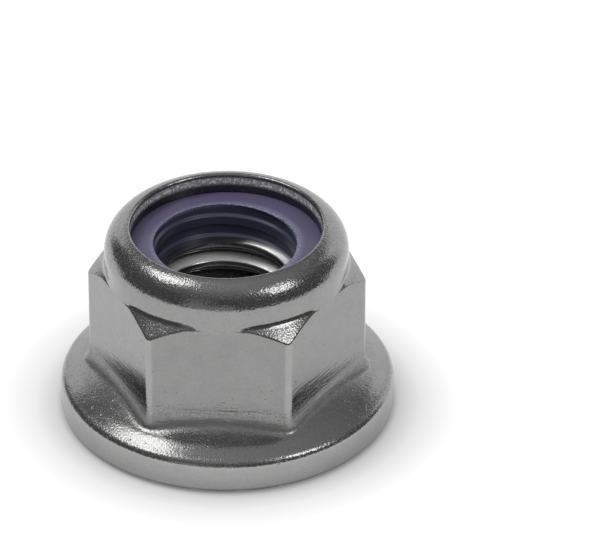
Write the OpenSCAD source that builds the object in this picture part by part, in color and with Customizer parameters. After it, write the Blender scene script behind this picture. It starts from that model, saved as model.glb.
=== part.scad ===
// Serrated flange lock nut, M8, with a captive nylon locking ring.
// The nut stands on its serrated bearing face at z = 0, with the thread along +Z.
// The nut body is one forged and turned piece: serrated flange, hexagon, shoulder and
// rolled-in collar. The collar's lip holds the nylon ring down in its pocket.

/* [Thread] */
// Nominal thread diameter
thread_d = 8; // [7.4:0.1:8.4]
// Thread pitch
thread_pitch = 1.25; // [0.75:0.25:1.5]
// Diameter of the countersink at the bearing face
entry_d = 8.75; // [8.6:0.05:10]
// Depth of the countersink
entry_depth = 1.2; // [0.6:0.1:1.6]

/* [Hexagon] */
// Width across the flats
across_flats = 12.95; // [12.7:0.05:13.3]
// Radius of the hexagon's rounded corners
hex_corner_radius = 0.45; // [0.2:0.05:0.8]
// Radius of the root between each flat and the flange
root_radius = 1.05; // [0.7:0.05:1.3]
// Steepness of the root where it runs out at the corners
root_runout_angle = 56; // [54:1:70]
// How far the root still reaches past the corners
root_corner_reach = 0.05; // [0.03:0.01:0.15]

/* [Flange] */
// Outer diameter of the flange
flange_d = 17.9; // [16.5:0.1:19]
// Height of the flange's upright edge
flange_edge_h = 1.55; // [1.2:0.05:1.8]
// Slope of the flange's conical top
flange_slope = 25; // [18:1:28]
// Rounding of the flange's upper edge
flange_top_round = 0.4; // [0.2:0.05:0.6]
// Rounding of the flange's lower edge
flange_bottom_round = 0.35; // [0.2:0.05:0.5]

/* [Serrations] */
// Number of serrations round the bearing face
tooth_count = 24; // [18:1:30]
// Diameter of the plain ring inside the serrations
plain_ring_d = 12; // [11.4:0.1:12.6]
// Radius of the arc that each serration follows
tooth_arc_radius = 3.6; // [3:0.1:4.5]
// How steeply each serration deepens outwards
tooth_deepening_angle = 5; // [3:0.5:8]
// Slope of the long face of each serration
tooth_ramp_angle = 5.4; // [4:0.2:9]
// Lean of the short face of each serration from upright
tooth_wall_lean = 40; // [10:1:50]

/* [Collar] */
// Overall height of the nut
height = 11.1; // [10.7:0.05:11.7]
// Outer diameter of the collar
collar_d = 13; // [12.7:0.05:13.4]
// Thickness of the collar's wall and of its rolled lip
collar_wall = 1.1; // [0.9:0.05:1.25]
// Radius over which the collar's lip is rolled in
crown_radius = 1.52; // [1.4:0.02:1.6]
// Diameter of the round opening inside the lip
opening_d = 10.2; // [10:0.1:10.6]
// Rounding of the lip's edge
lip_edge_round = 0.15; // [0.08:0.01:0.2]
// Height at which the shoulder meets the collar
shoulder_h = 8.75; // [8.4:0.05:9]
// Slope of the shoulder that takes off the hexagon's corners
shoulder_angle = 43; // [35:1:50]
// Radius between the shoulder and the collar
shoulder_fillet = 0.5; // [0.2:0.05:0.7]

/* [Locking ring] */
// Height of the pocket's floor, where the metal thread ends
pocket_floor_h = 7.9; // [7.4:0.05:8.3]
// Bore of the nylon ring
ring_bore_d = 7.5; // [7:0.1:7.8]
// Rounding of the ring's bore edges
ring_edge_round = 0.12; // [0.05:0.01:0.25]
// Gap between the nylon ring and the metal round it
ring_gap = 0.01; // [0.01:0.01:0.05]

/* [Hidden] */
$fn = 96;
// The thread's crests touch this diameter
thread_minor_d = thread_d - 1.0825 * thread_pitch;
flat_r = across_flats / 2;
hex_corner_centre_r = (flat_r - hex_corner_radius) / cos(30);
corner_r = hex_corner_centre_r + hex_corner_radius;
flange_r = flange_d / 2;
collar_r = collar_d / 2;
opening_r = opening_d / 2;
pocket_r = collar_r - collar_wall;
// The lip's edge rounding meets the roll of the crown at the nut's highest ring
lip_edge_centre = [opening_r + lip_edge_round, height - lip_edge_round * sin(60)];
highest_ring_r = lip_edge_centre.x - lip_edge_round * cos(60);
crown_centre_r = collar_r - crown_radius;
crown_centre = [crown_centre_r, height - sqrt(pow(crown_radius, 2) - pow(highest_ring_r - crown_centre_r, 2))];
// The inside of the rolled lip runs parallel to the crown
lip_inner_radius = crown_radius - collar_wall;
// The flange's cone starts where its rounded upper edge ends
cone_start = [
    flange_r - flange_top_round * (1 - sin(flange_slope)),
    flange_edge_h + flange_top_round * cos(flange_slope)
];
function cone_z(r) = cone_start.y + (cone_start.x - r) * tan(flange_slope);
function shoulder_z(r) = shoulder_h - (r - collar_r) * tan(shoulder_angle);
// Each fillet's arc runs into the faces it joins at this small angle
run_in_angle = 10;
shoulder_reach = shoulder_fillet * cos(run_in_angle);
shoulder_centre = [
    collar_r + shoulder_reach,
    shoulder_z(collar_r + shoulder_reach) + shoulder_reach / cos(shoulder_angle)
];
root_reach = root_radius * cos(run_in_angle);
root_centre = [
    flat_r + root_reach,
    cone_z(flat_r + root_reach) + root_reach / cos(flange_slope)
];
// A margin by which cutting shapes stand past what they cut
past = 1;

module nut_body() {
    color("#8f9190")
    difference() {
        union() {
            flange();
            hexagon();
            hexagon_root();
            collar();
        }
        threaded_bore();
        ring_pocket();
        serration_cuts();
    }
}

// Round flange with a conical top and both edges rounded
module flange() {
    rotate_extrude()
    union() {
        polygon([
            [0, 0],
            [flange_r - flange_bottom_round, 0],
            [flange_r - flange_bottom_round, flange_bottom_round],
            [flange_r, flange_bottom_round],
            [flange_r, flange_edge_h],
            [flange_r - flange_top_round, flange_edge_h],
            cone_start,
            [pocket_r, cone_z(pocket_r)],
            [0, cone_z(pocket_r)]
        ]);
        translate([flange_r - flange_bottom_round, flange_bottom_round])
            circle(flange_bottom_round);
        translate([flange_r - flange_top_round, flange_edge_h])
            circle(flange_top_round);
    }
}

// Hexagonal body with rounded corners, taken off by the shoulder cone; one flat faces -Y
module hexagon() {
    intersection() {
        translate([0, 0, flange_edge_h])
            linear_extrude(shoulder_centre.y - flange_edge_h)
                hexagon_outline();
        rotate_extrude()
            shoulder_profile();
    }
}

module hexagon_outline() {
    corners = [for (a = [0:60:300]) hex_corner_centre_r * [cos(a), sin(a)]];
    polygon([
        for (i = [0:5], side = [-30, 30])
            corners[i] + hex_corner_radius * [cos(60 * i + side), sin(60 * i + side)]
    ]);
    for (centre = corners)
        translate(centre)
            circle(hex_corner_radius);
}

// Half section of the shoulder cone and the fillet that leads it into the collar
module shoulder_profile() {
    difference() {
        polygon([
            [0, 0],
            [flange_r, 0],
            [flange_r, shoulder_z(flange_r)],
            shoulder_centre - shoulder_reach * [sin(shoulder_angle), cos(shoulder_angle)],
            shoulder_centre,
            [0, shoulder_centre.y]
        ]);
        translate(shoulder_centre)
            circle(shoulder_fillet);
    }
}

// Concave root that blends each flat into the flange and runs out at the corners
module hexagon_root() {
    runout_r = corner_r + root_corner_reach;
    intersection() {
        intersection_for(side = [0:5])
            rotate(side * 60)
                root_cove();
        cylinder(
            h = root_centre.y,
            r1 = runout_r + cone_z(runout_r) / tan(root_runout_angle),
            r2 = runout_r + (cone_z(runout_r) - root_centre.y) / tan(root_runout_angle)
        );
    }
}

// Everything behind one flat and under its root arc; the flat faces -Y
module root_cove() {
    rotate([90, 0, -90])
    linear_extrude(2 * flange_r, center = true)
    difference() {
        translate([-flange_r, 0])
            square([flange_r + root_centre.x - root_reach * sin(flange_slope), root_centre.y]);
        translate(root_centre)
            circle(root_radius);
    }
}

// Round collar above the shoulder, its lip rolled in over the locking ring
module collar() {
    rotate_extrude() {
        polygon([
            [0, pocket_floor_h / 2],
            [pocket_r, pocket_floor_h / 2],
            [collar_r, shoulder_h],
            [collar_r, crown_centre.y],
            [0, crown_centre.y]
        ]);
        intersection() {
            translate(crown_centre)
                circle(crown_radius);
            lip_bounds();
        }
    }
}

// Half section of all that lies outside the opening and its rounded edge
module lip_bounds() {
    translate([lip_edge_centre.x, crown_centre.y])
        square(2 * crown_radius);
    translate([opening_r, crown_centre.y])
        square([2 * crown_radius, lip_edge_centre.y - crown_centre.y]);
    translate(lip_edge_centre)
        circle(lip_edge_round);
}

// Bore at the thread's minor diameter, with its countersink in the bearing face
module threaded_bore() {
    translate([0, 0, -past])
        cylinder(h = height + 2 * past, d = thread_minor_d);
    translate([0, 0, -past])
        cylinder(
            h = entry_depth + past,
            d1 = entry_d + past * (entry_d - thread_minor_d) / entry_depth,
            d2 = thread_minor_d
        );
}

// Pocket for the locking ring, undercut behind the lip
module ring_pocket() {
    rotate_extrude()
    union() {
        translate([0, pocket_floor_h])
            square([pocket_r, crown_centre.y - pocket_floor_h]);
        translate([0, crown_centre.y])
            square([opening_r, height]);
        translate(crown_centre)
            circle(lip_inner_radius);
    }
}

// Serrations: ramps between curved walls that start at the plain ring and deepen outwards
module serration_cuts() {
    for (tooth = [0:tooth_count - 1])
        rotate(tooth * 360 / tooth_count)
            serration_cut();
}

// One serration: a ring-shaped cutter about an off-centre axis, tilted so that it deepens
module serration_cut() {
    // The arc is followed from first_angle, just inside the plain ring's edge
    first_angle = 6;
    start_angle = 14;
    last_angle = 80;
    ramp_length = 2.5;
    start_x = plain_ring_d / 2 + tooth_arc_radius * (1 - cos(start_angle));
    translate([start_x, 0, 0])
    rotate([0, -tooth_deepening_angle, 0])
    translate([plain_ring_d / 2 + tooth_arc_radius - start_x, 0, 0])
    rotate(180 - last_angle)
    rotate_extrude(angle = last_angle - first_angle)
        polygon([
            [tooth_arc_radius, 0],
            [tooth_arc_radius - past * tan(tooth_wall_lean), -past],
            [tooth_arc_radius + ramp_length, -past],
            [tooth_arc_radius + ramp_length, -ramp_length * tan(tooth_ramp_angle)]
        ]);
}

// Nylon ring, seated on the pocket's floor and held down by the lip
module nylon_insert() {
    ring_r = pocket_r - ring_gap;
    ring_round = lip_inner_radius - ring_gap;
    ring_top_h = crown_centre.y + ring_round;
    bore_r = ring_bore_d / 2;
    color("#5a5670")
    rotate_extrude()
    union() {
        translate([bore_r + ring_edge_round, pocket_floor_h])
            square([ring_r - ring_round - bore_r - ring_edge_round, ring_top_h - pocket_floor_h]);
        translate([bore_r, pocket_floor_h + ring_edge_round])
            square([ring_edge_round, ring_top_h - pocket_floor_h - 2 * ring_edge_round]);
        translate([bore_r + ring_edge_round, pocket_floor_h])
            square([ring_r - bore_r - ring_edge_round, crown_centre.y - pocket_floor_h]);
        translate([ring_r - ring_round, crown_centre.y])
            circle(ring_round);
        for (z = [pocket_floor_h + ring_edge_round, ring_top_h - ring_edge_round])
            translate([bore_r + ring_edge_round, z])
                circle(ring_edge_round);
    }
}

nut_body();
nylon_insert();
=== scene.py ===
import math

import bpy
import numpy as np
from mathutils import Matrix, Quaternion, Vector


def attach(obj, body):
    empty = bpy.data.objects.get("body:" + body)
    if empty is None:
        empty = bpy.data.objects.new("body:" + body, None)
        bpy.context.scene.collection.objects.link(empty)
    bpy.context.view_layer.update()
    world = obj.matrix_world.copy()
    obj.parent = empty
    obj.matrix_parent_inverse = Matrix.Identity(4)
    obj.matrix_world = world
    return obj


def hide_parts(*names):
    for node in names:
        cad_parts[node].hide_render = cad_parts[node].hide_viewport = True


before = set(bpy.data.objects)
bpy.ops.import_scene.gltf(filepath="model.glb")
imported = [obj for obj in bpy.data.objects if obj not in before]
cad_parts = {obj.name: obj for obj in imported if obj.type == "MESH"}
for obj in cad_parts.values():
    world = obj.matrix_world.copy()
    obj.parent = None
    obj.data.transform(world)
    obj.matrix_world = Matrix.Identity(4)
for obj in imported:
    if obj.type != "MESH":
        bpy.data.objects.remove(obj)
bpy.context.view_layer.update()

# A millimetre in the scene's metres
MM = 0.001


def tan_deg(angle):
    """Tangent of an angle in degrees."""
    return math.tan(math.radians(angle))


# Sizes in millimetres and angles in degrees, as in the part's source or a little inside it
# Hexagon: from the axis to a flat, the round of a corner and half the angle that it takes
FLAT_R = 6.475
CORNER_FILLET = 0.45
CORNER_U = (FLAT_R - CORNER_FILLET) * tan_deg(30)
CORNER_ANGLE = 30 - math.degrees(math.atan2(CORNER_U, FLAT_R))
# Flange: upright rim between rounded edges, then a cone that is flatter further in
FLANGE_R = 8.946
BOTTOM_ROUND = 0.35
EDGE_TOP = 1.5
TOP_ROUND = 0.5
CONE_ANGLE = 25
EDGE_TURN = 90 - CONE_ANGLE
CONE_START_R = FLANGE_R - TOP_ROUND + TOP_ROUND * math.cos(math.radians(EDGE_TURN))
CONE_START_Z = EDGE_TOP + TOP_ROUND * math.sin(math.radians(EDGE_TURN))
CONE_SLOPE = tan_deg(CONE_ANGLE)
INNER_CONE_R = 7.95
INNER_SLOPE = tan_deg(19)
# Root of the flats: its toe before a flat and at a corner, its arc and its top
TOE_U = 6.83
TOE_CORNER_R = 7.66
TOE_SOFT = 0.12
ROOT_TURN = 78
ROOT_TOP = 3.55
# Shoulder and collar, with the lip that is rolled over the ring; HALF_TURN_TAN is about
# the tangent of half the angle between the shoulder and the upright faces beside it
SHOULDER_Z = 8.75
SHOULDER_ANGLE = 43
HALF_TURN_TAN = 0.435
COLLAR_R = 6.5
CROWN_X = 4.98
CROWN_Z = 9.6069
CROWN_R = 1.52
UNDER_LIP_R = 0.42
LIP_ROUND = 0.15
OPENING_R = 5.1
# Pocket of the ring, and the ledge between its floor and the thread
POCKET_R = 5.4
POCKET_Z = 7.9
LEDGE_R = 4.05
# Thread and countersink; a crest passes the named height at the named azimuth
PITCH = 1.25
MINOR_R = 3.3235
MAJOR_R = 4.0
CREST_Z = 6.53
CREST_AZIMUTH = 95.18
THREAD_PHASE = CREST_Z - PITCH * CREST_AZIMUTH / 360
ENTRY_R = 4.375
ENTRY_H = 1.2
RUN_IN_Z = 1.3
# Serrations: valleys on arcs about TOOTH_CENTRE that deepen outwards from TOOTH_X0, each
# with a ramp on one side and a steep wall on the other
TEETH = 24
TOOTH_STEP = 360 / TEETH
TOOTH_CENTRE = 9.6
TOOTH_R = 3.6
TOOTH_X0 = TOOTH_CENTRE - TOOTH_R * math.cos(math.radians(14))
TOOTH_REACH = 75
VALLEY_SLOPE = tan_deg(5)
RAMP_SLOPE = tan_deg(5.4)
WALL_LEAN = tan_deg(40)
PLAIN_RING_R = 6.0
VALLEY_START_R = 6.02
FIRST_TOOTHED_R = 6.1
BEARING_R = 8.6
# Nylon ring, with the thread that is pressed into its bore
RING_R = 5.39
RING_BOTTOM = POCKET_Z + 0.004
RING_TOP = 10.0
RING_FACE = RING_TOP - 0.01
RING_ROUND = 0.40
RING_ROUND_Z = 9.5926
BORE_EDGE_R = 3.89
BORE_ROOT_R = 3.90
BORE_CREST_R = 3.73
# Azimuths of the columns inside the bore
BORE_PHI = np.arange(480) * 0.75

# What is written on the steel's points for its material
PAINT_KEYS = ("coarse", "light", "dull", "drawn", "smooth", "blur")
# Painted highlights: along the hexagon's rounded corners, and painted light on the thread's
# upper flanks
CORNER_HIGHLIGHT = 0.24
FLANK_PAINTED_LIGHT = 1.6
# The flats are a little darker than the turned faces; the rim is lightened a little with
# painted light
FLAT_TONE = -0.08
RIM_PAINTED_LIGHT = 0.24

# Stage, in metres: floor, its glow and how far out the glow's ramp reaches; the ramp paints a
# shadow round the object
FLOOR_HALF = 3.0
FLOOR_DROP = 0.00002
FLOOR_GLOW = 0.85
FLOOR_REACH = 0.02
# Lamps: distance from the point that they aim at, and its height
LAMP_DISTANCE = 0.35
LAMP_AIM_Z = 0.006
# Camera, fitted to the front nut in the photo
CAMERA_AZIMUTH = 4.18
CAMERA_ELEVATION = 33.256
CAMERA_ROLL = -0.471
CAMERA_DISTANCE = 0.2944
CAMERA_AIM_Z = 0.005
CAMERA_LENS = 330.1
CAMERA_SHIFT = (0.1216, 0.0713)


# Helpers for meshes
def arc(cx, cz, radius, start, end, steps):
    """Points (r, z) along an arc, angles in degrees from the outward direction."""
    a = np.radians(np.linspace(start, end, steps))
    return cx + radius * np.cos(a), cz + radius * np.sin(a)


def smooth_step(x):
    """Rises softly from 0 to 1 as x does."""
    x = np.clip(x, 0, 1)
    return x * x * (3 - 2 * x)


def make_object(name, points, faces, material, sharp_deg, paint):
    """A mesh object from points in millimetres, with edges sharp above an angle."""
    mesh = bpy.data.meshes.new(name)
    mesh.from_pydata((points * MM).tolist(), [], faces)
    mesh.materials.append(material)
    mesh.shade_smooth()
    mesh.set_sharp_from_angle(angle=math.radians(sharp_deg))
    for key, values in paint.items():
        mesh.attributes.new(key, "FLOAT", "POINT").data.foreach_set("value", values)
    obj = bpy.data.objects.new(name, mesh)
    bpy.context.scene.collection.objects.link(obj)
    return obj


def merge_points(points):
    """Which points to keep where some coincide, and the kept number of every point."""
    numbers = {}
    kept = []
    index = []
    for i, key in enumerate(map(tuple, np.round(points, 4))):
        if key not in numbers:
            numbers[key] = len(kept)
            kept.append(i)
        index.append(numbers[key])
    return kept, index


def grid_mesh(name, rr, aa, zz, material, sharp_deg, paint):
    """A closed-round grid: rows of r, azimuth (degrees) and z, merged where rows meet."""
    rows, cols = rr.shape
    a = np.radians(aa)
    points = np.stack([rr * np.cos(a), rr * np.sin(a), zz], -1).reshape(-1, 3)
    kept, index = merge_points(points)
    faces = []
    for j in range(rows - 1):
        for i in range(cols):
            k = (i + 1) % cols
            quad = [index[j * cols + i], index[j * cols + k]]
            quad += [index[(j + 1) * cols + k], index[(j + 1) * cols + i]]
            corners = [v for n, v in enumerate(quad) if v != quad[n - 1]]
            if len(set(corners)) > 2:
                faces.append(corners)
    kept_paint = {key: np.ravel(values)[kept] for key, values in paint.items()}
    return make_object(name, points[kept], faces, material, sharp_deg, kept_paint)


class Shell:
    """Collects the rows of a surface, each a radius, azimuth and height per column.

    Each row of the steel's outside also has paint: the plating's coarseness (coarse), painted
    light and shade together with the flats' darker tone (light), the dullness of sheared metal
    (dull), how strongly the die drew fine lines across it (drawn), its smoothness (smooth),
    and how much its gloss is blurred (blur).
    """

    def __init__(self, phi):
        self.phi = phi
        self.rows = []

    def add(self, r, z, azimuth=None, **paint):
        """Adds a row, at the shell's own azimuths unless others are given."""
        a = self.phi if azimuth is None else azimuth
        values = [r, a, z] + [paint.get(key, 0.0) for key in PAINT_KEYS]
        self.rows.append([np.broadcast_to(v, self.phi.shape) for v in values])

    def arrays(self):
        """Grids of r, azimuth and z, and then one for each kind of paint."""
        return np.array(self.rows, float).transpose(1, 0, 2)


# Serrations under the flange
def valley_azimuth(r):
    """Azimuth of a serration's valley at radius r, in degrees from its first direction."""
    r = np.maximum(r, VALLEY_START_R)
    c = (r * r + TOOTH_CENTRE ** 2 - TOOTH_R ** 2) / (2 * TOOTH_CENTRE * r)
    return np.degrees(np.arccos(np.clip(c, -1, 1)))


def serration_depth(r, azimuth):
    """How far the bearing face is cut back at a point, zero outside the cuts."""
    depth = np.zeros(np.broadcast(r, azimuth).shape)
    for k in range(-1, 3):
        local = np.radians(np.mod(azimuth, TOOTH_STEP) + TOOTH_STEP * k)
        x = r * np.cos(local)
        rho = np.hypot(x - TOOTH_CENTRE, r * np.sin(local))
        on_ramp = (rho - TOOTH_R) * RAMP_SLOPE
        on_wall = (TOOTH_R - rho) / WALL_LEAN
        cut = (x - TOOTH_X0) * VALLEY_SLOPE - np.where(rho > TOOTH_R, on_ramp, on_wall)
        reached = local < math.radians(TOOTH_REACH)
        depth = np.maximum(depth, np.where(reached, cut, 0.0))
    return depth


def wall_width(r):
    """Angle that the steep wall takes at radius r, in degrees."""
    w = np.linspace(0.02, 4, 400)
    depth = serration_depth(r, valley_azimuth(r) - w)
    return float(w[int(np.argmin(depth))])


def add_bearing_face(shell):
    """Flat ring and the swept serrations, with columns that follow the valleys."""
    base_valley = float(valley_azimuth(BEARING_R))
    base_wall = wall_width(BEARING_R)
    base_ramp = TOOTH_STEP - base_wall
    turn = np.mod(shell.phi - base_valley, TOOTH_STEP)
    tooth = shell.phi - turn
    plain = np.linspace(ENTRY_R, PLAIN_RING_R, 4)
    toothed = np.linspace(FIRST_TOOTHED_R, BEARING_R, 17)
    for r in np.concatenate([plain, toothed]):
        # the wall is too low to be found where the valleys start
        wall = wall_width(r) if r > FIRST_TOOTHED_R + 0.05 else 0.1
        ramp_share = turn / base_ramp
        wall_share = (turn - base_ramp) / base_wall
        local = np.where(
            turn <= base_ramp + 1e-9,
            ramp_share * (TOOTH_STEP - wall),
            TOOTH_STEP - wall + wall_share * wall,
        )
        azimuth = tooth + local + float(valley_azimuth(r)) - base_valley
        shell.add(r, serration_depth(r, azimuth), azimuth)


# Plan of the hexagon
def sector_columns():
    """Azimuths of the columns for one corner and one flat, some moved onto the valleys."""
    strip = np.linspace(-CORNER_ANGLE, CORNER_ANGLE, 13)
    t = np.linspace(0, 1, 97)[1:-1]
    bend = t - 0.10 * np.sin(2 * np.pi * t) / (2 * np.pi)
    face = CORNER_ANGLE + (60 - 2 * CORNER_ANGLE) * bend
    valley = float(valley_azimuth(BEARING_R))
    wall = wall_width(BEARING_R)
    for k in range(-1, 4):
        for mark in (valley + TOOTH_STEP * k, valley - wall + TOOTH_STEP * k):
            mark = mark % 60
            if CORNER_ANGLE < mark < 60 - CORNER_ANGLE:
                face[int(np.argmin(np.abs(face - mark)))] = mark
    return np.concatenate([strip, face])


def columns():
    """Azimuths of all columns of the outside, one sector of 60 degrees repeated."""
    one = sector_columns()
    return np.concatenate([one + 60 * k for k in range(6)])


def hexagon_radius(phi):
    """Radius of the hexagon's outline with rounded corners at azimuth phi."""
    to_flat = np.abs(np.mod(phi, 60) - 30)
    flat = FLAT_R / np.cos(np.radians(to_flat))
    centre = (FLAT_R - CORNER_FILLET) / math.cos(math.radians(30))
    theta = np.radians(30 - to_flat)
    inside = np.maximum(CORNER_FILLET ** 2 - (centre * np.sin(theta)) ** 2, 0)
    rounded = centre * np.cos(theta) + np.sqrt(inside)
    return np.where(30 - to_flat < CORNER_ANGLE, rounded, flat)


def toe_radius(phi):
    """Radius where the root of the flats meets the flange."""
    toe = TOE_U / np.cos(np.radians(np.abs(np.mod(phi, 60) - 30)))
    # towards the corners the foot rounds off instead of running out to a point
    return toe - TOE_SOFT * np.logaddexp(0, (toe - TOE_CORNER_R) / TOE_SOFT)


def corner_highlight(phi):
    """Painted highlight along the hexagon's rounded corners."""
    from_corner = np.abs(np.mod(phi + 30, 60) - 30)
    return CORNER_HIGHLIGHT * smooth_step((2.0 - from_corner) / 0.9)


# Outside of the nut, from the rim up to the pocket
def add_flange_edge(shell):
    """Rounded lower edge, upright rim and rounded upper edge."""
    steps = np.linspace(0, 1, 9)
    rs, zs = arc(FLANGE_R - BOTTOM_ROUND, BOTTOM_ROUND, BOTTOM_ROUND, -90, 0, 9)
    for r, z, t in list(zip(rs, zs, steps))[1:]:
        level = np.maximum(z, serration_depth(np.array(r), shell.phi))
        # painted shade: darker down towards the floor
        shell.add(r, level, light=RIM_PAINTED_LIGHT - 0.8 * (1 - t), smooth=0.8)
    shell.add(FLANGE_R, (BOTTOM_ROUND + EDGE_TOP) / 2, light=RIM_PAINTED_LIGHT, smooth=0.8)
    rs, zs = arc(FLANGE_R - TOP_ROUND, EDGE_TOP, TOP_ROUND, 0, EDGE_TURN, 9)
    for r, z, t in zip(rs, zs, steps):
        shell.add(r, z, coarse=0.2 * t, light=RIM_PAINTED_LIGHT * (1 - t), smooth=0.8 * (1 - t) ** 3)


def flange_height(r):
    """Top of the flange: a cone, a little flatter inside the circle through the corners."""
    outer = CONE_START_Z + (CONE_START_R - r) * CONE_SLOPE
    knee = CONE_START_Z + (CONE_START_R - INNER_CONE_R) * CONE_SLOPE
    inner = knee + (INNER_CONE_R - r) * INNER_SLOPE
    return np.where(r > INNER_CONE_R, outer, inner)


def add_flange_top(shell, toe):
    """Cone from the rim's edge in to the toe of the root, coarser near the toe."""
    for r in np.linspace(CONE_START_R, INNER_CONE_R, 5)[1:]:
        shell.add(r, flange_height(np.array(r)), coarse=0.1, smooth=0.5)
    for t in np.linspace(0, 1, 6)[1:]:
        r = INNER_CONE_R + (toe - INNER_CONE_R) * t
        shell.add(r, flange_height(r), coarse=0.1 + 0.3 * t, smooth=0.45)


def add_root(shell, hexagon, toe):
    """Arc that rises from the flange and runs into the flats, drawn and rough at its foot."""
    end = math.radians(ROOT_TURN)
    foot = flange_height(toe)
    strip = corner_highlight(shell.phi)
    for w in np.linspace(end, 0, 11)[1:]:
        out = (1 - math.cos(w)) / (1 - math.cos(end))
        down = math.sin(w) / math.sin(end)
        left = w / end
        # painted light: the root's middle is lightened where it mirrors dark surroundings, and
        # the corners' painted highlight runs down into it
        shade = FLAT_TONE + 0.15 * math.sin(math.pi * (1 - left))
        shell.add(
            hexagon + (toe - hexagon) * out,
            ROOT_TOP - (ROOT_TOP - foot) * down,
            coarse=0.1 + 0.4 * left,
            light=shade + strip * (1 - left),
            drawn=0.5,
            smooth=0.3,
            blur=0.22 * math.sin(math.pi * (0.1 + 0.8 * left)),
        )


def add_flats(shell, hexagon, top):
    """Flats from the root up to a height, with drawn lines that fade upwards."""
    # the flats' tone, with the corners' painted highlight
    light = FLAT_TONE + corner_highlight(shell.phi)
    for t in np.linspace(0, 1, 9)[1:]:
        lines = 0.6 * max(0.05, 1 - 3.2 * t)
        level = ROOT_TOP + (top - ROOT_TOP) * t
        shell.add(hexagon, level, light=light, drawn=lines, smooth=0.8)


def add_flats_and_shoulder(shell, hexagon):
    """Flats, rounded shoulder edge, shoulder cone, fillet and the foot of the collar."""
    over = hexagon - COLLAR_R
    grown = smooth_step(over / 0.35)
    # lengths of the cone that the rounded edge and the fillet take up
    edge_t = HALF_TURN_TAN * (0.02 + 0.18 * grown)
    fillet_t = HALF_TURN_TAN * (0.05 + 0.45 * grown)
    # where flat and collar are nearly flush, they merge over a taller stretch
    merge = 0.35 * (1 - smooth_step(over / 0.22))
    edge = SHOULDER_Z - over * tan_deg(SHOULDER_ANGLE) - merge
    add_flats(shell, hexagon, edge - edge_t)
    turn = math.radians(90 - SHOULDER_ANGLE)
    radius = edge_t / math.tan(turn / 2)
    for w in np.linspace(0, turn, 7)[1:]:
        out = hexagon - radius * (1 - math.cos(w))
        level = edge - edge_t + radius * math.sin(w)
        shell.add(out, level + merge * 0.5 * w / turn)
    slope = math.radians(SHOULDER_ANGLE)
    start_r = hexagon - edge_t * math.cos(slope)
    start_z = edge + edge_t * math.sin(slope)
    end_r = COLLAR_R + fillet_t * math.cos(slope)
    end_z = SHOULDER_Z - fillet_t * math.sin(slope)
    for t in np.linspace(0, 1, 6)[1:]:
        level = start_z + (end_z - start_z) * t + merge * (0.5 - t)
        shell.add(start_r + (end_r - start_r) * t, level, coarse=0.1)
    radius = fillet_t / math.tan(turn / 2)
    for w in np.linspace(turn, 0, 9)[1:]:
        out = COLLAR_R + radius * (1 - math.cos(w))
        lift = merge * (0.5 - w / turn)
        shell.add(out, SHOULDER_Z + fillet_t - radius * math.sin(w) + lift, smooth=0.6)
    shell.add(COLLAR_R, (SHOULDER_Z + 0.5 + CROWN_Z) / 2, smooth=0.7)


def add_collar_top(shell):
    """Rolled crown, the lip's edge and the lip's sheared end face."""
    lip_x = OPENING_R + LIP_ROUND
    lip_z = CROWN_Z + math.sqrt((CROWN_R - LIP_ROUND) ** 2 - (lip_x - CROWN_X) ** 2)
    touch = math.degrees(math.atan2(lip_z - CROWN_Z, lip_x - CROWN_X))
    rs, zs = arc(CROWN_X, CROWN_Z, CROWN_R, 0, touch, 22)
    for r, z, t in zip(rs, zs, np.linspace(0, 1, 22)):
        shell.add(r, z, smooth=0.6 * max(0, 1 - 3 * t))
    for r, z in list(zip(*arc(lip_x, lip_z, LIP_ROUND, touch, 180, 9)))[1:]:
        shell.add(r, z)
    foot_z = CROWN_Z + math.sqrt(UNDER_LIP_R ** 2 - (OPENING_R - CROWN_X) ** 2)
    for z in np.linspace(lip_z, foot_z, 9)[1:]:
        # rough and dull near its top where sheared, with painted highlight there and painted
        # shade further down
        sheared = float(smooth_step((z - lip_z + 0.55) / 0.15))
        tone = -0.6 + 1.3 * sheared
        shell.add(OPENING_R, z, coarse=1.7 * sheared, light=tone, dull=0.55 * sheared)
    start = math.degrees(math.atan2(foot_z - CROWN_Z, OPENING_R - CROWN_X))
    for r, z in list(zip(*arc(CROWN_X, CROWN_Z, UNDER_LIP_R, start, 0, 5)))[1:]:
        shell.add(r, z)


def add_pocket(shell):
    """Wall and floor of the pocket, in to the ledge, with a row between on each."""
    shell.add(POCKET_R, 9.0)
    shell.add(POCKET_R, POCKET_Z)
    shell.add(4.7, POCKET_Z)
    shell.add(LEDGE_R, POCKET_Z)


def soften_crease(grid, row):
    """Rounds a crease at one row of a grid a little, by averaging the rows about it."""
    first, last = row - 3, row + 6
    for _ in range(9):
        beside = grid[first - 1:last - 1] + grid[first + 1:last + 1]
        grid[first:last] = 0.5 * grid[first:last] + 0.25 * beside


def nut_shell(material):
    """Outside of the nut, its bearing face and its pocket, all but the thread."""
    shell = Shell(columns())
    hexagon = hexagon_radius(shell.phi)
    toe = toe_radius(shell.phi)
    add_bearing_face(shell)
    add_flange_edge(shell)
    add_flange_top(shell, toe)
    toe_row = len(shell.rows) - 1
    add_root(shell, hexagon, toe)
    add_flats_and_shoulder(shell, hexagon)
    add_collar_top(shell)
    add_pocket(shell)
    grids = shell.arrays()
    r, a, z = grids[:3]
    soften_crease(r, toe_row)
    soften_crease(z, toe_row)
    paint = dict(zip(PAINT_KEYS, grids[3:]))
    return grid_mesh("nut_shell", r, a, z, material, 32, paint)


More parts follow.
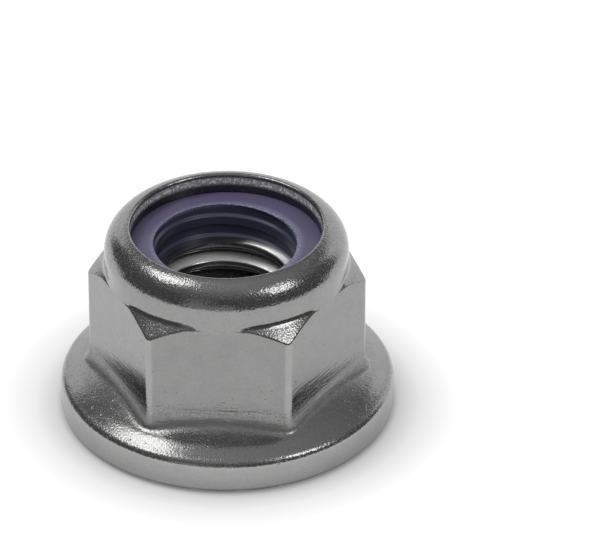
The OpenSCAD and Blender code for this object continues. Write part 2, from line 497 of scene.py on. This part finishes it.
# Thread and nylon ring
def thread_radius(z, phi, crest_r, root_r, half_crest, lean, soft=0.04):
    """Radius of an inner thread at height z and azimuth phi.

    Its flanks lean by lean degrees, and soft is how much its edges are rounded.
    """
    centre = THREAD_PHASE + PITCH * phi / 360
    t = np.abs(np.mod(z - centre + PITCH / 2, PITCH) - PITCH / 2)
    r = crest_r + (t - half_crest) / tan_deg(lean)
    r = soft * np.logaddexp(r / soft, crest_r / soft)
    return -soft * np.logaddexp(-r / soft, -root_r / soft)


def thread_offsets():
    """Heights of one turn's rows from the crest's middle, close where the form bends."""
    half = [0.0, 0.08, 0.12, 0.15, 0.18, 0.22, 0.3, 0.42, 0.49, 0.53, 0.57]
    return [-t for t in half[:0:-1]] + half + [PITCH / 2]


def thread_paint(r, z):
    """Towards the top the thread's flanks get painted light and a blurred gloss, its crests
    less.
    """
    flank = smooth_step((3.95 - r) / 0.25)
    crest = smooth_step((3.42 - r) / 0.08)
    upper_flank = flank * (1 - 0.85 * crest) * smooth_step((z - 5.6) / 0.9)
    # the lightness on the upper flanks is painted light
    return {
        "light": FLANK_PAINTED_LIGHT * upper_flank,
        "dull": 0.3 * upper_flank,
        "smooth": np.full(r.shape, 0.7),
        "blur": 0.30 * upper_flank,
    }


def nut_thread(material):
    """Countersink, thread and the ledge at its top."""
    shell = Shell(BORE_PHI)

    def add(z):
        thread = thread_radius(z, BORE_PHI, MINOR_R, MAJOR_R, half_crest=0.155, lean=30)
        entry = ENTRY_R - z * (ENTRY_R - MINOR_R) / ENTRY_H
        shell.add(np.maximum(thread, entry), z)

    for z in np.linspace(0, RUN_IN_Z, 34):
        add(z)
    offsets = thread_offsets()
    for k in range(-8, 9):
        for t in offsets:
            level = THREAD_PHASE + PITCH * (BORE_PHI / 360 + k) + t
            if level.max() > RUN_IN_Z and level.min() < POCKET_Z:
                add(np.clip(level, RUN_IN_Z, POCKET_Z))
    add(POCKET_Z)
    shell.add(LEDGE_R, POCKET_Z)
    # from the top down, so that the faces look inwards
    r, a, z = shell.arrays()[:3, ::-1]
    return grid_mesh("nut_thread", r, a, z, material, 40, thread_paint(r, z))


def nylon_ring(material):
    """Ring with the thread that a bolt has formed in its bore."""
    shell = Shell(BORE_PHI)

    def bore(z):
        form = {"half_crest": 0.24, "lean": 38, "soft": 0.012}
        return thread_radius(z, BORE_PHI, BORE_CREST_R, BORE_ROOT_R, **form)

    for r in (BORE_ROOT_R, 4.6, RING_R - 0.1):
        shell.add(r, RING_BOTTOM)
    for r, z in zip(*arc(CROWN_X, RING_ROUND_Z, RING_ROUND, 0, 85, 7)):
        shell.add(r, z)
    for r in (4.8, 4.5, 4.2, BORE_EDGE_R):
        shell.add(r, RING_FACE)
    turn = np.radians(BORE_PHI)
    ragged = 0.012 * (np.sin(37 * turn) + np.sin(61 * turn + 1) + np.sin(101 * turn + 2))
    for t in np.linspace(0, 1, 5)[1:]:
        w = t * math.pi / 2
        z = RING_FACE - 0.10 * (1 - math.cos(w))
        inwards = (bore(z) - BORE_EDGE_R) * math.sin(w)
        shell.add(BORE_EDGE_R + inwards + ragged * math.sin(2 * w), z)
    for z in np.linspace(RING_TOP - 0.12, RING_BOTTOM, 80):
        shell.add(bore(z), z)
    shell.add(BORE_ROOT_R, RING_BOTTOM)
    r, a, z = shell.arrays()[:3]
    edge = smooth_step((4.05 - r) / 0.1) * smooth_step((z - RING_TOP + 0.18) / 0.06)
    return grid_mesh("nylon_ring", r, a, z, material, 60, {"edge": edge})


# Helpers for materials
def new_material(name):
    """A new material with its nodes, its links and its shader."""
    material = bpy.data.materials.new(name)
    material.use_nodes = True
    nodes = material.node_tree.nodes
    return material, nodes, material.node_tree.links, nodes["Principled BSDF"]


def feed(links, socket, value):
    """Sets a socket to a number, or links it to the socket that gives its value."""
    if isinstance(value, (int, float)):
        socket.default_value = value
    else:
        links.new(value, socket)


def rgba(tone):
    """Opaque colour from three values, or from one value for a grey."""
    return (*tone, 1) if isinstance(tone, tuple) else (tone, tone, tone, 1)


def noise(nodes, links, scale_mm, detail, rough, stretch=None):
    """Noise in object space whose features are about scale_mm wide."""
    coord = nodes.new("ShaderNodeTexCoord")
    mapping = nodes.new("ShaderNodeMapping")
    if stretch:
        mapping.inputs["Scale"].default_value = stretch
    texture = nodes.new("ShaderNodeTexNoise")
    texture.inputs["Scale"].default_value = 1 / (scale_mm * MM)
    texture.inputs["Detail"].default_value = detail
    texture.inputs["Roughness"].default_value = rough
    links.new(coord.outputs["Object"], mapping.inputs["Vector"])
    links.new(mapping.outputs["Vector"], texture.inputs["Vector"])
    return texture.outputs["Fac"]


def ramp(nodes, links, source, stops):
    """Colour ramp over a source; each stop is a place and a colour or a grey."""
    node = nodes.new("ShaderNodeValToRGB")
    elements = node.color_ramp.elements
    for element, (place, tone) in ((elements[0], stops[0]), (elements[1], stops[-1])):
        element.position = place
        element.color = rgba(tone)
    for place, tone in stops[1:-1]:
        elements.new(place).color = rgba(tone)
    links.new(source, node.inputs["Fac"])
    return node.outputs["Color"]


def bump(nodes, links, source, strength, distance_mm, normal=None):
    """Normal of a relief, laid over another normal where one is given."""
    node = nodes.new("ShaderNodeBump")
    feed(links, node.inputs["Strength"], strength)
    node.inputs["Distance"].default_value = distance_mm * MM
    links.new(source, node.inputs["Height"])
    if normal is not None:
        links.new(normal, node.inputs["Normal"])
    return node.outputs["Normal"]


def painted(nodes, key):
    """What was written on the mesh's points under a name."""
    node = nodes.new("ShaderNodeAttribute")
    node.attribute_name = key
    return node.outputs["Fac"]


def math_node(nodes, links, operation, *values):
    """Result of an operation on numbers and sockets."""
    node = nodes.new("ShaderNodeMath")
    node.operation = operation
    for socket, value in zip(node.inputs, values):
        feed(links, socket, value)
    return node.outputs["Value"]


# Zinc plating
def steel_colour(nodes, links, patch, speck, amount):
    """Patchy grey, moved by the painted light and shade, with painted glints where it is
    coarse.
    """
    grey = ramp(nodes, links, patch, [(0.3, (0.285, 0.285, 0.283)), (0.7, (0.31, 0.31, 0.307))])
    glint_specks = ramp(nodes, links, speck, [(0.5, 0.0), (0.68, 1.0)])
    painted_glints = math_node(nodes, links, "MULTIPLY", glint_specks, amount)
    # painted light and shade from the points lightens and darkens the grey
    tone = math_node(nodes, links, "ADD", painted(nodes, "light"), 0.9)
    mottled = math_node(nodes, links, "MULTIPLY_ADD", speck, 0.2, tone)
    lighter = nodes.new("ShaderNodeVectorMath")
    lighter.operation = "SCALE"
    links.new(grey, lighter.inputs[0])
    links.new(math_node(nodes, links, "ADD", mottled, painted_glints), lighter.inputs["Scale"])
    return lighter.outputs["Vector"]


def steel_roughness(nodes, links, coarse, unworn):
    """Glossy, with fine dull specks on faces that are not rubbed smooth."""
    specks = noise(nodes, links, 0.075, 1, 0.5)
    gloss = ramp(nodes, links, specks, [(0.45, 0.0), (0.56, 0.10), (0.66, 0.36)])
    speckled = math_node(nodes, links, "MULTIPLY_ADD", gloss, unworn, 0.11)
    rougher = math_node(nodes, links, "MULTIPLY_ADD", coarse, 0.25, speckled)
    return math_node(nodes, links, "ADD", rougher, painted(nodes, "blur"))


def steel_relief(nodes, links, patch, speck, amount, unworn):
    """Grain and crystals of the plating, soft dents, drawn lines and a few small nicks."""
    grain = noise(nodes, links, 0.11, 1, 0.5)
    worked = ramp(nodes, links, patch, [(0.35, 0.35), (0.65, 0.8)])
    strength = math_node(nodes, links, "MULTIPLY_ADD", amount, 0.6, worked)
    strength = math_node(nodes, links, "MULTIPLY", strength, unworn)
    normal = bump(nodes, links, grain, strength, 0.022)
    half = math_node(nodes, links, "MULTIPLY", unworn, 0.5)
    normal = bump(nodes, links, speck, half, 0.010, normal)
    dent = noise(nodes, links, 0.6, 2, 0.5)
    normal = bump(nodes, links, dent, 0.4, 0.018, normal)
    lines = noise(nodes, links, 0.12, 2, 0.5, stretch=(0.09, 0.09, 1.0))
    normal = bump(nodes, links, lines, painted(nodes, "drawn"), 0.03, normal)
    nick = noise(nodes, links, 0.28, 1, 0.5)
    hollow = ramp(nodes, links, nick, [(0.70, 1.0), (0.75, 0.0)])
    return bump(nodes, links, hollow, 0.6, 0.012, normal)


def steel_material():
    """Zinc plating: grey metal with fine grain, patchy gloss and coarser unworked faces."""
    material, nodes, links, shader = new_material("zinc_plated_steel")
    patch = noise(nodes, links, 0.9, 4, 0.6)
    speck = noise(nodes, links, 0.17, 2, 0.6)
    coarse = painted(nodes, "coarse")
    amount = math_node(nodes, links, "POWER", coarse, 2.0)
    unworn = math_node(nodes, links, "SUBTRACT", 1.0, painted(nodes, "smooth"))
    metallic = math_node(nodes, links, "SUBTRACT", 1.0, painted(nodes, "dull"))
    links.new(metallic, shader.inputs["Metallic"])
    colour = steel_colour(nodes, links, patch, speck, amount)
    links.new(colour, shader.inputs["Base Color"])
    links.new(steel_roughness(nodes, links, coarse, unworn), shader.inputs["Roughness"])
    relief = steel_relief(nodes, links, patch, speck, amount, unworn)
    links.new(relief, shader.inputs["Normal"])
    return material


# Nylon
def nylon_colour_and_sheen(nodes, links):
    """Colour by height, as a share of the ring's top: navy in the bore, and greyish violet on
    top as painted sheen.
    """
    coord = nodes.new("ShaderNodeTexCoord")
    split = nodes.new("ShaderNodeSeparateXYZ")
    links.new(coord.outputs["Object"], split.inputs["Vector"])
    height = math_node(nodes, links, "MULTIPLY", split.outputs["Z"], 1 / (RING_TOP * MM))
    mottle = noise(nodes, links, 0.7, 3, 0.55)
    wavy = math_node(nodes, links, "MULTIPLY_ADD", mottle, 0.02, height)
    # the ramp climbs to the lightest tone, and the top face itself takes the one before it
    return ramp(nodes, links, wavy, [
        (0.90, (0.035, 0.040, 0.075)),
        (0.985, (0.045, 0.045, 0.085)),
        (1.0, (0.080, 0.070, 0.125)),
        (1.0, (0.095, 0.085, 0.14)),
    ])


def nylon_material():
    """Nylon, navy down in the bore and greyish violet on top as painted sheen, with a soft
    gloss and painted glints along the bore's upper edge.
    """
    material, nodes, links, shader = new_material("violet_nylon")
    # painted glints: pale bluish specks along the bore's upper edge
    edge_glint_noise = noise(nodes, links, 0.09, 2, 0.6)
    pale = ramp(nodes, links, edge_glint_noise, [(0.42, 0.0), (0.62, 1.0)])
    glint_mix = nodes.new("ShaderNodeMix")
    glint_mix.data_type = "RGBA"
    share = math_node(nodes, links, "MULTIPLY", painted(nodes, "edge"), pale)
    links.new(share, glint_mix.inputs["Factor"])
    links.new(nylon_colour_and_sheen(nodes, links), glint_mix.inputs["A"])
    glint_mix.inputs["B"].default_value = (0.20, 0.22, 0.32, 1)
    links.new(glint_mix.outputs["Result"], shader.inputs["Base Color"])
    shader.inputs["Roughness"].default_value = 0.3
    grain = noise(nodes, links, 0.15, 3, 0.6)
    links.new(bump(nodes, links, grain, 0.5, 0.012), shader.inputs["Normal"])
    return material


# Floor and cards
def floor_material():
    """Pale floor that shows white to the camera and in reflections, with the shadow kept and a
    painted shadow close round the object.
    """
    material, nodes, links, shader = new_material("pale_floor")
    shader.inputs["Base Color"].default_value = rgba(0.20)
    shader.inputs["Roughness"].default_value = 0.9
    shader.inputs["Specular IOR Level"].default_value = 0.0
    rays = nodes.new("ShaderNodeLightPath").outputs
    seen = math_node(nodes, links, "MAXIMUM", rays["Is Camera Ray"], rays["Is Glossy Ray"])
    seen = math_node(nodes, links, "MAXIMUM", seen, rays["Is Transmission Ray"])
    coord = nodes.new("ShaderNodeTexCoord")
    distance = nodes.new("ShaderNodeVectorMath")
    distance.operation = "LENGTH"
    links.new(coord.outputs["Object"], distance.inputs[0])
    # painted shadow: hardly any glow under the object, full glow a little outside it
    reach = math_node(nodes, links, "MULTIPLY", distance.outputs["Value"], 1 / FLOOR_REACH)
    glow_and_painted_shadow = ramp(nodes, links, reach, [
        (0.0, 0.12),
        (0.16, 0.12),
        (0.44, 0.2),
        (0.46, 0.45),
        (0.52, 0.66),
        (0.61, 0.81),
        (0.75, FLOOR_GLOW),
    ])
    shader.inputs["Emission Color"].default_value = rgba(1)
    glow = math_node(nodes, links, "MULTIPLY", seen, glow_and_painted_shadow)
    links.new(glow, shader.inputs["Emission Strength"])
    return material


def add_floor():
    """Wide flat floor, just under the nut."""
    size = FLOOR_HALF
    corners = [(-size, -size, 0), (size, -size, 0), (size, size, 0), (-size, size, 0)]
    mesh = bpy.data.meshes.new("floor")
    mesh.from_pydata(corners, [], [(0, 1, 2, 3)])
    mesh.materials.append(floor_material())
    floor = bpy.data.objects.new("floor", mesh)
    floor.location.z = -FLOOR_DROP
    bpy.context.scene.collection.objects.link(floor)


def card_material(name, level):
    """An even tone that does not depend on the lamps."""
    material, nodes, links, shader = new_material(name)
    shader.inputs["Base Color"].default_value = rgba(0)
    shader.inputs["Specular IOR Level"].default_value = 0.0
    shader.inputs["Emission Color"].default_value = rgba(1)
    shader.inputs["Emission Strength"].default_value = level
    return material


def add_card(name, material, azimuths, radius, heights):
    """An upright card bent round the nut, in metres, that only the metal's gloss sees."""
    steps = 60
    a = np.radians(np.linspace(*azimuths, steps))
    ring = np.stack([np.cos(a) * radius, np.sin(a) * radius, np.zeros(steps)], 1)
    points = np.concatenate([ring + (0, 0, height) for height in heights])
    faces = [(i, i + 1, i + 1 + steps, i + steps) for i in range(steps - 1)]
    mesh = bpy.data.meshes.new(name)
    mesh.from_pydata(points.tolist(), [], faces)
    mesh.materials.append(material)
    card = bpy.data.objects.new(name, mesh)
    bpy.context.scene.collection.objects.link(card)
    card.visible_camera = False
    card.visible_diffuse = False
    card.visible_shadow = False


def add_cards():
    """A pale wall behind, and low dark and grey cards in front with one tall grey card."""
    pale = card_material("pale_card", 1.0)
    dark = card_material("dark_card", 0.12)
    soft = card_material("soft_card", 0.36)
    add_card("backdrop", pale, (33, 134), 0.30, (-0.001, 0.205))
    add_card("dark_card_left", dark, (172, 238), 0.05, (0.0, 0.014))
    add_card("front_low_card", soft, (238, 281), 0.05, (0.0, 0.014))
    add_card("dark_card_right", dark, (281, 370), 0.05, (0.0, 0.014))
    add_card("front_card", soft, (240, 256), 0.30, (0.0, 0.17))


# Lamps, world and camera
def add_lamp(name, azimuth, elevation, size, power, in_metal=True):
    """Rectangular lamp aimed at the nut; in_metal says whether the metal mirrors it."""
    data = bpy.data.lights.new(name, "AREA")
    data.shape = "RECTANGLE"
    data.size, data.size_y = size
    data.energy = power
    lamp = bpy.data.objects.new(name, data)
    a, e = math.radians(azimuth), math.radians(elevation)
    direction = Vector((math.cos(a) * math.cos(e), math.sin(a) * math.cos(e), math.sin(e)))
    lamp.location = Vector((0, 0, LAMP_AIM_Z)) + direction * LAMP_DISTANCE
    lamp.rotation_mode = "QUATERNION"
    lamp.rotation_quaternion = direction.to_track_quat("Z", "Y")
    lamp.visible_glossy = in_metal
    bpy.context.scene.collection.objects.link(lamp)


def set_world():
    """Dim room that grows lighter overhead."""
    world = bpy.data.worlds.new("studio")
    world.use_nodes = True
    nodes, links = world.node_tree.nodes, world.node_tree.links
    coord = nodes.new("ShaderNodeTexCoord")
    split = nodes.new("ShaderNodeSeparateXYZ")
    links.new(coord.outputs["Generated"], split.inputs["Vector"])
    stops = [(0.0, 0.13), (0.45, 0.13), (0.71, 0.24), (1.0, 0.46)]
    tone = ramp(nodes, links, split.outputs["Z"], stops)
    links.new(tone, nodes["Background"].inputs["Color"])
    bpy.context.scene.world = world


def add_camera():
    """Camera at the photo's angle, its azimuth measured from the front."""
    data = bpy.data.cameras.new("camera")
    data.lens = CAMERA_LENS
    data.sensor_width = 36
    data.shift_x, data.shift_y = CAMERA_SHIFT
    data.clip_start = 0.001
    camera = bpy.data.objects.new("camera", data)
    a, e = math.radians(CAMERA_AZIMUTH), math.radians(CAMERA_ELEVATION)
    back = Vector((math.sin(a) * math.cos(e), -math.cos(a) * math.cos(e), math.sin(e)))
    camera.location = Vector((0, 0, CAMERA_AIM_Z)) + back * CAMERA_DISTANCE
    camera.rotation_mode = "QUATERNION"
    roll = Quaternion((0, 0, 1), math.radians(CAMERA_ROLL))
    camera.rotation_quaternion = back.to_track_quat("Z", "Y") @ roll
    bpy.context.scene.collection.objects.link(camera)
    bpy.context.scene.camera = camera


# The scene itself
def dress(piece, node):
    """Puts a piece on the root body and hides the CAD node that it stands for."""
    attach(piece, "root")
    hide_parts(node)


def finish_node(name, material):
    """Gives a CAD node the material of the piece that stands for it."""
    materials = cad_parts[name].data.materials
    materials.clear()
    materials.append(material)


bpy.context.scene.view_settings.view_transform = "Standard"

steel = steel_material()
nylon = nylon_material()
dress(nut_shell(steel), "nut_body")
dress(nut_thread(steel), "nut_body")
dress(nylon_ring(nylon), "nylon_insert")
finish_node("nut_body", steel)
finish_node("nylon_insert", nylon)

add_floor()
add_cards()
set_world()
add_lamp("lamp_left", 172, 62, (0.17, 0.13), 0.21)
add_lamp("lamp_right", -28, 42, (0.12, 0.13), 0.165)
add_lamp("lamp_key", 172, 62, (0.13, 0.12), 0.48, in_metal=False)
add_lamp("lamp_front", -90, 64, (0.25, 0.25), 0.45, in_metal=False)
add_camera()
